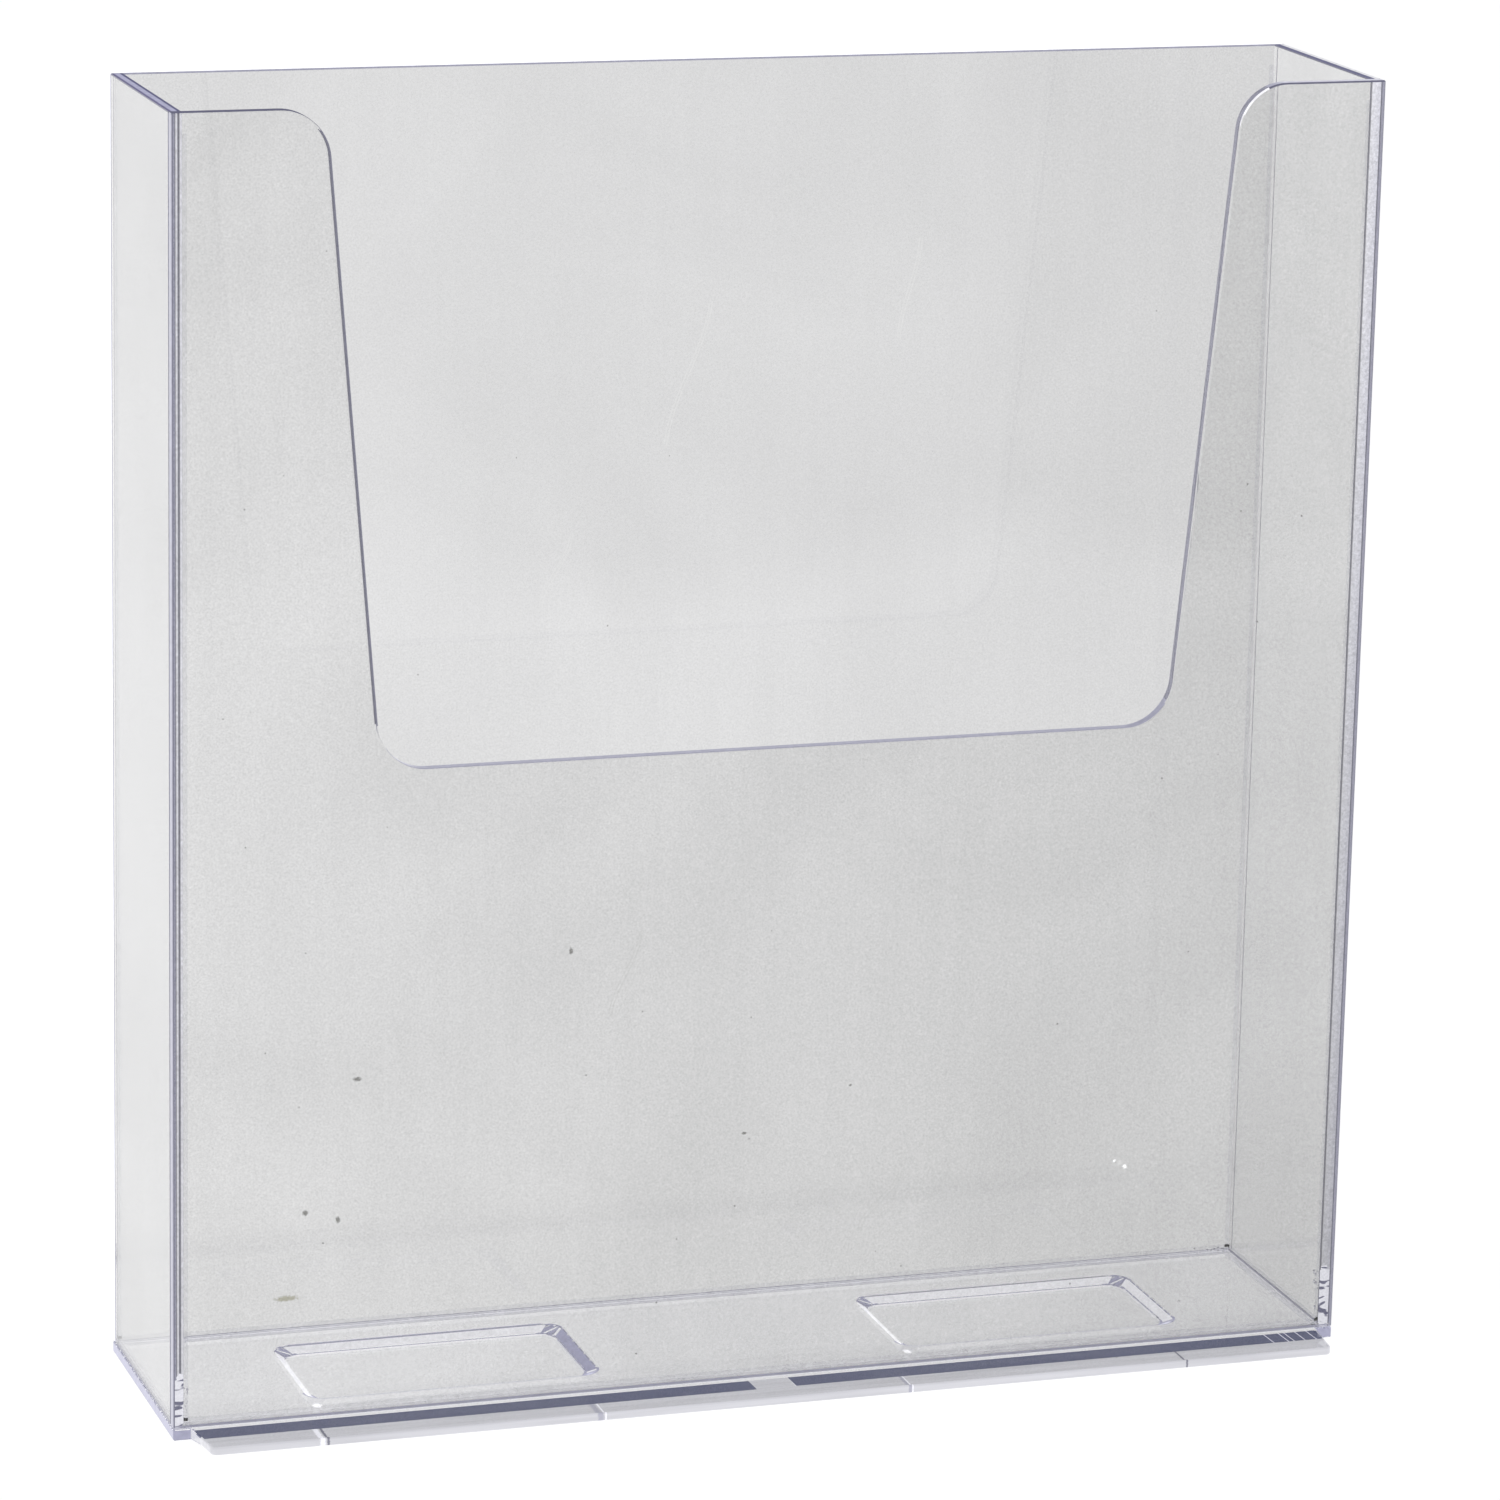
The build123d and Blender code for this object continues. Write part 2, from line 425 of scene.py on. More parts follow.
def shade_group():
    """Shade: darker to the right and at its foot, lighter below a wavy line, with a fine grain."""
    group, given, end = new_group(
        "Shade", {"Right Shade": 0.09, "Foot Shade": 0.0, "Low Light": 0.0, "Grain": 0.3}, ("Factor",)
    )
    parts = split(group, given["Vector"])
    right = remap(group, parts["X"], -front_high.x, front_high.x)
    foot = remap(group, parts["Z"], 0.13, 0.03)
    share = compute(group, "MULTIPLY", foot, compute(group, "ADD", right, 0.35))
    deeper = compute(group, "MULTIPLY", share, given["Foot Shade"])
    drop = compute(group, "MULTIPLY_ADD", right, given["Right Shade"], deeper)
    wave = noise(group, given["Vector"], 9.0, detail=1.5)
    line = compute(group, "MULTIPLY_ADD", wave, -0.10, parts["Z"])
    lift = compute(group, "MULTIPLY", remap(group, line, 0.118, 0.100), given["Low Light"])
    fine = noise(group, given["Vector"], 2800.0, detail=1.0)
    centred = compute(group, "SUBTRACT", fine, 0.5)
    grain = compute(group, "MULTIPLY_ADD", centred, given["Grain"], 1.0)
    darker = compute(group, "SUBTRACT", grain, drop)
    connect(group, end, {"Factor": compute(group, "ADD", darker, lift)})


def voids_group():
    """Voids: the white, dark-cored gaps in a joint that filled badly, up to a height."""
    group, given, end = new_group("Voids", {"Top": 0.014}, ("White", "Dark"))
    ragged = noise(group, given["Vector"], 700.0, detail=2.0)
    edge = compute(group, "MULTIPLY_ADD", ragged, 0.006, split(group, given["Vector"])["Z"])
    low = compute(group, "LESS_THAN", edge, given["Top"])
    flat = drawn_out(group, given["Vector"], (0.35, 1.0, 1.0))
    blobs = noise(group, flat, 620.0, detail=1.0, distortion=0.8)
    dark = compute(group, "MULTIPLY", remap(group, blobs, 0.56, 0.60), low)
    connect(group, end, {"White": low, "Dark": dark})


def fleck_group():
    """Fleck: one soft oval mark at a place, as a mask."""
    group, given, end = new_group("Fleck", {"Place": (0, 0, 0), "Size": (0.001, 0.001, 0.001)}, ("Mask",))
    offset = compute_vector(group, "SUBTRACT", given["Vector"], given["Place"])
    far = compute_vector(group, "LENGTH", compute_vector(group, "DIVIDE", offset, given["Size"]))
    rough = noise(group, given["Vector"], 2500.0, detail=2.0)
    ragged = compute(group, "MULTIPLY_ADD", rough, 1.2, far)
    connect(group, end, {"Mask": remap(group, ragged, 1.7, 1.2)})


def fibre_group():
    """Fibre: one fine curved hair that lies on an upright sheet, as a mask."""
    group, given, end = new_group(
        "Fibre", {"Place": (0, 0, 0), "Length": 0.02, "Bend": 0.004, "Turns": 120.0}, ("Mask",)
    )
    parts = split(group, compute_vector(group, "SUBTRACT", given["Vector"], given["Place"]))
    sway = compute(group, "SINE", compute(group, "MULTIPLY", parts["Z"], given["Turns"]))
    aside = compute(group, "SUBTRACT", parts["X"], compute(group, "MULTIPLY", sway, given["Bend"]))
    thin = remap(group, compute(group, "ABSOLUTE", aside), 0.0002, 0.00008)
    inside = compute(group, "LESS_THAN", compute(group, "ABSOLUTE", parts["Z"]), given["Length"])
    connect(group, end, {"Mask": compute(group, "MULTIPLY", thin, inside)})


def start_material(name, transmission, roughness, index):
    """Starts a material with its plain values; returns its tree, its shader and object coordinates."""
    material = bpy.data.materials.new(name)
    material.use_nodes = True
    tree = material.node_tree
    shader = tree.nodes["Principled BSDF"]
    connect(tree, shader, {"Transmission Weight": transmission, "Roughness": roughness, "IOR": index})
    return tree, shader, add_node(tree, "TexCoord").outputs["Object"]


def clear_sheet(name, tint, foot_shade=0.0, low_light=0.0, flecks=(), glints=(), fibres=()):
    """Clear sheet: tint, haze and grain, with painted shade and a painted reflection lower down, dust,
    single flecks, painted glints and fibres.
    """
    finish = bpy.context.scene.rack_finish
    tree, shader, place = start_material(name, 1.0, 0.0, finish.refraction)
    haze = place_group(tree, "Handling Haze", place)
    dust = place_group(tree, "Dust", place, cells=260.0, speck_size=0.05, share=0.03)
    hazy = blend(tree, haze["Mask"], scaled(tint, 1 - finish.haze), tint)
    shade = place_group(
        tree, "Shade", place, right_shade=finish.right_shade, foot_shade=foot_shade,
        low_light=low_light, grain=finish.grain,
    )
    shaded = blend(tree, 1.0, hazy, shade["Factor"], "MULTIPLY")
    colour = blend(tree, dust["Mask"], shaded, (0.2, 0.2, 0.19))
    for spot, size, shadow in flecks:
        fleck = place_group(tree, "Fleck", place, place=spot, size=size)
        colour = blend(tree, fleck["Mask"], colour, shadow)
    for spot, length, bend, turns in fibres:
        fibre = place_group(tree, "Fibre", place, place=spot, length=length, bend=bend, turns=turns)
        colour = blend(tree, fibre["Mask"], colour, (0.76, 0.76, 0.75))
    light = None
    for spot, size in glints:
        glint = place_group(tree, "Fleck", place, place=spot, size=size)["Mask"]
        light = compute(tree, "MAXIMUM", light, glint) if light else glint
    if light:
        lit = blend(tree, light, (0, 0, 0), (0.5, 0.5, 0.52))
        connect(tree, shader, {"Emission Color": lit, "Emission Strength": 1.0})
    connect(tree, shader, {"Base Color": colour, "Normal": bump(tree, haze["Height"], 0.02, 0.001)})


def polished_edge(name, tint, glow, glow_marks=(), stretch=(1, 1, 1), gloss=0.5):
    """Polished edge: a painted glow that stands in for the light the sheet carries, between fine lines,
    with painted marks of light and shade.
    """
    tree, shader, place = start_material(name, 0.0, 0.08, bpy.context.scene.rack_finish.refraction)
    lines = place_group(tree, "Polish Lines", place, stretch=stretch)
    shade = blend(tree, lines["Mask"], scaled(tint, 0.86), tint)
    light = blend(tree, lines["Mask"], scaled(glow, 0.86), glow)
    for spot, size, colour in glow_marks:
        light = blend(tree, place_group(tree, "Fleck", place, place=spot, size=size)["Mask"], light, colour)
    connect(tree, shader, {
        "Base Color": shade, "Emission Color": light, "Emission Strength": 1.0,
        "Specular IOR Level": gloss, "Normal": bump(tree, lines["Height"], 0.05, 0.0002),
    })


def banded_end(name, start, foot, stops, voids=0.0):
    """Narrow face of a side panel: painted bands of light and shade from its left to its right, with
    painted shade towards its foot.
    """
    tree, shader, place = start_material(name, 0.0, 0.1, bpy.context.scene.rack_finish.refraction)
    parts = split(tree, place)
    sheet = right_high.x - right_low.x
    bands = ramp(tree, remap(tree, parts["X"], start, start + sheet), stops)
    height = remap(tree, parts["Z"], 0.0, front_high.z, foot, 1.0)
    lines = place_group(tree, "Polish Lines", place, lines=1400.0)
    uneven = remap(tree, lines["Mask"], 0.0, 1.0, 0.78, 1.0)
    light = blend(tree, 1.0, bands, compute(tree, "MULTIPLY", height, uneven), "MULTIPLY")
    # The voids are real gaps in the joint; their white and their dark cores are painted light and shade in
    # the glow.
    if voids:
        gaps = place_group(tree, "Voids", place, top=voids)
        light = blend(tree, gaps["White"], light, (0.85, 0.85, 0.92))
        light = blend(tree, gaps["Dark"], light, (0.12, 0.12, 0.20))
    connect(tree, shader, {
        "Base Color": (0.05, 0.05, 0.06, 1), "Emission Color": light, "Emission Strength": 1.0,
        "Specular IOR Level": 0.0,
    })


def set_cement():
    """Set cement: clear, with a faint milky cloud and a rippled skin."""
    tint = bpy.context.scene.rack_finish.cement_tint
    tree, shader, place = start_material("set_cement", 1.0, 0.03, 1.03)
    haze = place_group(tree, "Handling Haze", place, cloud_size=420.0, streak_size=900.0)
    milky = blend(tree, haze["Mask"], scaled(tint, 0.9), tint)
    connect(tree, shader, {"Base Color": milky, "Normal": bump(tree, haze["Height"], 0.2, 0.0004)})


def trapped_air():
    """Trapped air: the mirror skin of a bubble inside the cement."""
    tree, shader, place = start_material("trapped_air", 0.0, 0.08, 1.49)
    lines = place_group(tree, "Polish Lines", place, lines=2400.0)
    tint = blend(tree, lines["Mask"], (0.55, 0.55, 0.60), (0.98, 0.98, 1.0))
    connect(tree, shader, {"Metallic": 1.0, "Base Color": tint})


def make_sheets(finish):
    """The clear faces of the sheets, with the marks of handling on each, a painted sparkle on the front
    panel, painted caustic spots on the base plate, and tints that paint shade.
    """
    dark, olive, bright = (0.12, 0.12, 0.11), (0.33, 0.32, 0.22), (1.0, 1.0, 1.0)
    y, z, rear = front_low.y, front_low.z, back_low.y
    marks = (
        ((-0.0823, y, 0.0684), (0.0009, 0.001, 0.0005), dark),
        ((-0.0922, y, 0.0430), (0.0006, 0.001, 0.0006), dark),
        ((-0.0859, y, 0.0411), (0.0005, 0.001, 0.0007), dark),
        ((-0.0958, y, 0.0264), (0.0026, 0.001, 0.0006), olive),
        # a white fleck beneath the front panel's painted sparkle, part of that painted highlight
        ((0.0712, y, 0.0400), (0.0006, 0.001, 0.0006), bright),
        ((0.0152, y, 0.0600), (0.0004, 0.001, 0.0003), dark),
        ((-0.0410, y, 0.0905), (0.0004, 0.001, 0.0008), dark),
        ((-0.0060, y, 0.0520), (0.0005, 0.001, 0.0003), dark),
    )
    # Painted highlight: a sparkle of emitted light on the front panel.
    front_sparkles = (((0.0722, y, 0.0392), (0.0005, 0.001, 0.0005)), ((0.0700, y, 0.0405), (0.0003, 0.001, 0.0003)))
    front_hairs = (((-0.030, y, 0.085), 0.008, 0.003, 170.0), ((0.022, y, 0.036), 0.006, 0.004, 260.0))
    back_hairs = (
        ((-0.0039, rear, 0.190), 0.014, 0.0045, 95.0), ((-0.030, rear, 0.152), 0.007, 0.003, 210.0),
        ((0.041, rear, 0.205), 0.010, 0.002, 150.0),
    )
    # Painted highlights: caustic spots of emitted light at the recesses' front left corners on the base
    # plate.
    caustic_spots = (
        ((-0.0882, -0.0135, z), (0.0009, 0.0014, 0.001)), ((0.0308, -0.0125, z), (0.0008, 0.0012, 0.001)),
    )
    clear_sheet("front_plastic", finish.front_tint, 0.03, flecks=marks, glints=front_sparkles, fibres=front_hairs)
    clear_sheet("back_plastic", finish.back_tint, low_light=0.06, fibres=back_hairs)
    clear_sheet("side_plastic", finish.side_tint, foot_shade=0.10)
    clear_sheet("base_plastic", finish.base_tint, glints=caustic_spots)


def make_edges(finish):
    """The polished edges' painted glows, with painted marks of light and shade along the lip and painted
    light lines in its dark strip.
    """
    grey, mild, white = (0.10, 0.10, 0.13), (0.34, 0.34, 0.40), (0.85, 0.85, 0.9)
    # Painted light and dark marks in the lip's glow, standing in for light carried along the lip.
    lip_glow_marks = (
        (-0.0915, 0.0006, white), (-0.0904, 0.0003, grey), (-0.0372, 0.0007, mild),
        (-0.0362, 0.0002, white), (0.0250, 0.0004, mild), (0.0255, 0.00018, white),
        (0.0822, 0.00025, grey),
    )
    glow_marks = [((x, 0, 0), (half, 0.1, 0.1), colour) for x, half, colour in lip_glow_marks]
    # Painted light lines in the dark strip's glow, near its right end.
    lip_glow_lines = (0.1032, 0.1063, 0.1075, 0.1098, 0.1122)
    glow_lines = [((x, 0, 0), (0.00012, 0.1, 0.1), (0.8, 0.8, 0.9)) for x in lip_glow_lines]
    tint, dim = finish.edge_tint, scaled(finish.edge_tint, 0.4)
    polished_edge("polished_edge", tint, finish.edge_glow)
    polished_edge("base_edge", dim, finish.deep_glow)
    polished_edge("arris", finish.arris_tint, scaled(finish.arris_tint, 1.3))
    polished_edge("violet_edge", dim, (0.12, 0.12, 0.18), gloss=0.0)
    polished_edge("glint_edge", tint, (0.95, 0.95, 0.97))
    polished_edge("rim_edge", tint, (0.27, 0.27, 0.34))
    polished_edge("pale_edge", tint, finish.pale_glow, glow_marks=glow_marks, stretch=(0.04, 1, 1))
    # Painted light on the recess walls and the back panel's edges, and a darker painted glow on one recess
    # wall.
    polished_edge("pale_wall", tint, scaled(finish.pale_glow, 1.45))
    polished_edge("deep_wall", tint, scaled(finish.edge_glow, 1.4))
    # The lip's dark strip: painted shade as a dark glow, with the painted light lines.
    polished_edge("lip_strip", scaled(tint, 0.2), finish.strip_glow, glow_marks=glow_lines)


def make_ends():
    """The banded front ends and tops of the two side panels, painted as glowing bands of light and shade.
    """
    left, right = -right_high.x, right_low.x
    violet, deep, pale, grey = (0.31, 0.31, 0.41), (0.15, 0.15, 0.19), (0.80, 0.80, 0.86), (0.3, 0.3, 0.33)
    lit, shaded, core = (0.46, 0.46, 0.62), (0.17, 0.16, 0.28), (0.13, 0.13, 0.23)
    dull, bright = (0.17, 0.17, 0.27), (0.85, 0.85, 0.88)
    banded_end("left_end", left, 0.95, (
        (0.0, deep), (0.14, violet), (0.36, violet), (0.42, deep), (0.50, pale), (0.58, pale), (0.64, deep),
        (0.74, deep), (0.82, pale), (1.0, pale),
    ), voids=0.015)
    banded_end(
        "right_end", right, 0.56,
        ((0.0, grey), (0.10, grey), (0.14, (0.98, 0.98, 1.05)), (1.0, (0.90, 0.90, 1.0))), voids=0.017,
    )
    banded_end(
        "left_top", left, 1.0,
        ((0.0, shaded), (0.18, shaded), (0.26, lit), (0.62, lit), (0.70, core), (1.0, core)),
    )
    banded_end("right_top", right, 1.0, ((0.0, dull), (0.42, dull), (0.52, bright), (1.0, bright)))


# ---- pieces ---------------------------------------------------------------
class RACK_OT_finishes(bpy.types.Operator):
    """Makes the clear, edge and cement materials"""

    bl_idname = "rack.finishes"
    bl_label = "Finishes"

    def execute(self, context):
        finish = context.scene.rack_finish
        for make_group in (
            haze_group, dust_group, polish_group, shade_group, fleck_group, voids_group, fibre_group
        ):
            make_group()
        make_sheets(finish)
        make_edges(finish)
        make_ends()
        set_cement()
        trapped_air()
        return {"FINISHED"}


class RACK_OT_base_plate(bpy.types.Operator):
    """Models the base plate with its lip, gate pad and two recesses"""

    bl_idname = "rack.base_plate"
    bl_label = "Base Plate"

    def execute(self, context):
        sizes = context.scene.rack_sizes
        low, high = (plate_low.x, front_low.y, plate_low.z), (plate_high.x, plate_high.y, front_low.z)
        plate = add_box("base_sheet", low, high)
        self.draw_lip(plate, sizes)
        for side in (-1, 1):
            cut_with(plate, self.recess(side, sizes))
        break_edges(plate, sizes.edge_break)
        self.flatten_foot(plate)
        cut_with(plate, self.gate_pad(sizes), "UNION")
        strip = (front_low.y - sizes.strip_reach, front_low.y + sizes.strip_back)
        go_to("EDIT")
        for y in strip:
            bisect((0, y, 0), (0, 1, 0))
        for side in (-1, 1):
            bisect((side * sizes.gate_pad / 2, 0, 0), (1, 0, 0))
        go_to("OBJECT")
        close_up(plate)
        for face in plate.data.polygons:
            face.material_index = self.finish_of(face, strip, sizes)
        hand_over(
            plate, "base_plate", "clear_base",
            "base_plastic", "base_edge", "arris", "pale_edge", "pale_wall", "deep_wall", "lip_strip",
        )
        return {"FINISHED"}

    def finish_of(self, face, strip, sizes):
        """Which finish a face of the plate has. Every finish but the clear sheet is a painted glow: the
        strip under the lip's root is painted shade, the lip and the recess walls are painted light, and the
        left recess's right wall is painted darker.
        """
        place, normal = face.center, face.normal
        inside = sizes.gate_pad / 2 < abs(place.x) < plate_high.x - sizes.lip_shoulder
        if normal.z < -SQUARE and strip[0] < place.y < strip[1] and inside:
            return STRIP
        if place.y < strip[0] and normal.z < FLAT or normal.z < -SQUARE and place.y < strip[1]:
            return LIP_EDGE
        if abs(normal.z) < ASIDE:
            return EDGE if place.y > front_low.y - NEAR else LIP_EDGE
        if not self.in_recess(place, sizes) or normal.z > 0.999 or normal.z < 0:
            return SHEET
        if normal.z > SQUARE:
            return EDGE if normal.y > 0.01 else SHEET
        dark = place.x < 0 and normal.x < -0.1 and abs(normal.y) < 0.1
        return DEEP if dark else WALL

    def in_recess(self, place, sizes):
        """True inside either recess's rim, or just outside it."""
        half_length, half_width = sizes.recess_length / 2 + MARGIN, sizes.recess_width / 2 + MARGIN
        centre_y = (right_low.y + right_high.y) / 2
        return (
            abs(abs(place.x) - sizes.recess_spacing / 2) < half_length
            and abs(place.y - centre_y) < half_width
            and place.z > front_low.z - sizes.recess_depth - NEAR
        )

    def draw_lip(self, plate, sizes):
        """Extrudes the lip from the plate's front in two steps, then shapes its ends and its underside."""
        root = plate_high.x - sizes.lip_shoulder
        y_ramp = front_low.y - sizes.lip_ramp
        go_to("EDIT")
        for side in (-1, 1):
            bisect((side * root, 0, 0), (1, 0, 0))
        select(plate, "faces", lambda f: f.normal.y < -SQUARE and abs(f.calc_center_median().x) < root / 2)
        for reach in (sizes.lip_ramp, y_ramp - plate_low.y):
            bpy.ops.mesh.extrude_region_move(TRANSFORM_OT_translate={"value": (0, -reach, 0)})
        rise = front_low.z - plate_low.z - sizes.lip_thickness
        select(plate, "verts", lambda v: v.co.y < y_ramp + NEAR and v.co.z < rise)
        bpy.ops.transform.translate(value=(0, 0, rise))
        for y, share in ((y_ramp, sizes.lip_ramp / (front_low.y - plate_low.y)), (plate_low.y, 1.0)):
            select(plate, "verts", lambda v: abs(v.co.y - y) < NEAR)
            draw_in = (root - sizes.lip_taper * share) / root
            bpy.ops.transform.resize(value=(draw_in, 1, 1), center_override=(0, y, 0))
        select(plate, "edges", lambda e: runs_along(e, 2) and middle(e).y < plate_low.y + NEAR)
        bpy.ops.mesh.bevel(offset=sizes.lip_corner, segments=20, affect="EDGES")
        go_to("OBJECT")

    def flatten_foot(self, plate):
        """Brings what the rounding pushed below the plate's underside back up to it."""
        go_to("EDIT")
        select(plate, "verts", lambda v: v.co.z < plate_low.z + NEAR / 10)
        bpy.ops.transform.resize(value=(1, 1, 0), center_override=plate_low)
        go_to("OBJECT")

    def gate_pad(self, sizes):
        """Pad where the plate was filled, under the root of the lip."""
        half = sizes.gate_pad / 2
        y_ramp = front_low.y - sizes.lip_ramp
        top = (front_low.z + front_low.z - sizes.lip_thickness) / 2
        return add_box("gate_pad", (-half, y_ramp, plate_low.z), (half, front_low.y + MARGIN, top))

    def recess(self, side, sizes):
        """Shape of a recess: rounded corners and walls that lean in to its floor."""
        centre = Vector((side * sizes.recess_spacing / 2, (right_low.y + right_high.y) / 2, front_low.z))
        half = Vector((sizes.recess_length / 2, sizes.recess_width / 2, 0))
        proud = Vector((0, 0, sizes.recess_depth))
        dish = add_box("recess", centre - half - proud, centre + half + proud)
        go_to("EDIT")
        select(dish, "edges", lambda e: runs_along(e, 2))
        bpy.ops.mesh.bevel(offset=sizes.recess_radius, segments=24, affect="EDGES")
        bisect(centre, (0, 0, 1))
        select(dish, "verts", lambda v: v.co.z < centre.z - NEAR)
        lean = [(half[i] - sizes.recess_slope) / half[i] for i in (0, 1)]
        bpy.ops.transform.resize(value=(*lean, 1), center_override=centre)
        go_to("OBJECT")
        return dish


class RACK_OT_front_panel(bpy.types.Operator):
    """Models the front panel with its finger cut-out"""

    bl_idname = "rack.front_panel"
    bl_label = "Front Panel"

    def execute(self, context):
        sizes = context.scene.rack_sizes
        gap = sizes.joint_gap
        panel = add_box("front_sheet", front_low + Vector((0, 0, gap)), front_high)
        mouth = front_high.x - sizes.tab_width
        floor = mouth - sizes.tab_flare
        rise = front_high.z - sizes.low_front
        lean = math.atan2(sizes.tab_flare, rise)
        go_to("EDIT")
        for side in (-1, 1):
            bisect((side * mouth, 0, front_high.z), (side * math.cos(lean), 0, -math.sin(lean)))
        bisect((0, 0, sizes.low_front), (0, 0, 1))
        select(panel, "faces", lambda f: self.in_cut_out(f.calc_center_median(), sizes))
        bpy.ops.mesh.delete(type="FACE")
        select(panel, "edges", lambda e: e.is_boundary and not runs_along(e, 1))
        bpy.ops.mesh.bridge_edge_loops()
        bpy.ops.mesh.select_all(action="SELECT")
        bpy.ops.mesh.dissolve_limited(angle_limit=math.radians(1))
        corners = select(panel, "edges", lambda e: self.is_corner(e, mouth, floor, sizes))
        if corners != 4:
            raise RuntimeError(f"the cut-out has {corners} corners and needs 4")
        reach = sizes.corner_radius * math.tan((math.pi / 2 - lean) / 2)
        bpy.ops.mesh.bevel(offset=reach, segments=18, affect="EDGES")
        go_to("OBJECT")
        break_edges(panel, sizes.edge_break)
        close_up(panel)
        inside = front_high.x - MARGIN
        mark_sheet(panel, 1, lambda place, normal: abs(place.x) < inside or is_underside(place, normal))
        arc_depth, dark_slope = 0.012, sizes.low_front + 0.03
        # Apart from the clear faces, every finish here is a painted glow: TOP a dark violet, RIM a mid
        # tone, GLINT a painted highlight on the right arc, ARRIS a dark line down the left slope.
        for face in panel.data.polygons:
            place, up = face.center, face.normal.z
            at_top = place.z > front_high.z - arc_depth
            faces_up_front = up > 0.15 and face.normal.y < -0.3
            on_right_flat = place.x > mouth + 0.6 * reach
            at_end = abs(face.normal.x) > SQUARE and abs(place.x) > inside
            if at_top and (place.x < 0 and up > 0.5 or on_right_flat and faces_up_front):
                face.material_index = TOP
            elif at_end or abs(up) > SQUARE or up > 0.5 and not at_top:
                face.material_index = RIM
            elif at_top and place.x > 0 and faces_up_front:
                face.material_index = GLINT
            elif place.x < 0 and face.normal.x > 0.3 and place.z > dark_slope:
                face.material_index = ARRIS
        mark_large_faces(panel)
        hand_over(
            panel, "front_panel", "clear_sheet",
            "front_plastic", "polished_edge", "arris", "violet_edge", "rim_edge", "glint_edge",
        )
        return {"FINISHED"}

    def in_cut_out(self, place, sizes):
        """True for the middle of a face that the cut-out takes away."""
        return place.z > sizes.low_front + MARGIN and abs(place.x) < front_high.x - sizes.tab_width

    def is_corner(self, edge, mouth, floor, sizes):
        """True for the four corners of the cut-out and the tabs, which run through the sheet."""
        place = middle(edge)
        at_mouth = abs(abs(place.x) - mouth) < 2 * NEAR and place.z > front_high.z - 2 * NEAR
        at_floor = abs(abs(place.x) - floor) < 2 * NEAR and abs(place.z - sizes.low_front) < 2 * NEAR
        return runs_along(edge, 1) and (at_mouth or at_floor)


class RACK_OT_back_panel(bpy.types.Operator):
    """Models the back panel"""

    bl_idname = "rack.back_panel"
    bl_label = "Back Panel"

    def execute(self, context):
        sizes = context.scene.rack_sizes
        panel = add_box("back_sheet", back_low + Vector((0, 0, sizes.joint_gap)), back_high)
        break_edges(panel, sizes.edge_break)
        close_up(panel)
        mark_sheet(panel, 1, is_underside)
        # Its edges take the pale wall's painted light, and its arrises the rim edge's painted glow.
        hand_over(panel, "back_panel", "clear_sheet", "back_plastic", "pale_wall", "rim_edge")
        return {"FINISHED"}


class RACK_OT_side_panels(bpy.types.Operator):
    """Models the two side panels between the front and the back"""

    bl_idname = "rack.side_panels"
    bl_label = "Side Panels"

    def execute(self, context):
        sizes = context.scene.rack_sizes
        gap = sizes.joint_gap
        for node in SIDE_NODES:
            low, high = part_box(node)
            name = node.replace("panel", "sheet")
            panel = add_box(name, low + Vector((0, gap, gap)), high - Vector((0, gap, 0)))
            break_edges(panel, sizes.edge_break)
            close_up(panel)
            mark_sheet(panel, 0, lambda place, normal: normal.y > SQUARE or is_underside(place, normal))
            # Apart from the clear faces, these finishes are painted glows; the tops and the front ends get
            # painted bands of light and shade.
            for face in panel.data.polygons:
                if face.normal.z > SQUARE:
                    face.material_index = TOP
                if face.normal.y < -SQUARE:
                    face.material_index = END
            hand = "left" if low.x < 0 else "right"
            hand_over(
                panel, node, "clear_sheet",
                "side_plastic", "polished_edge", "arris", hand + "_top", hand + "_end",
            )
        return {"FINISHED"}


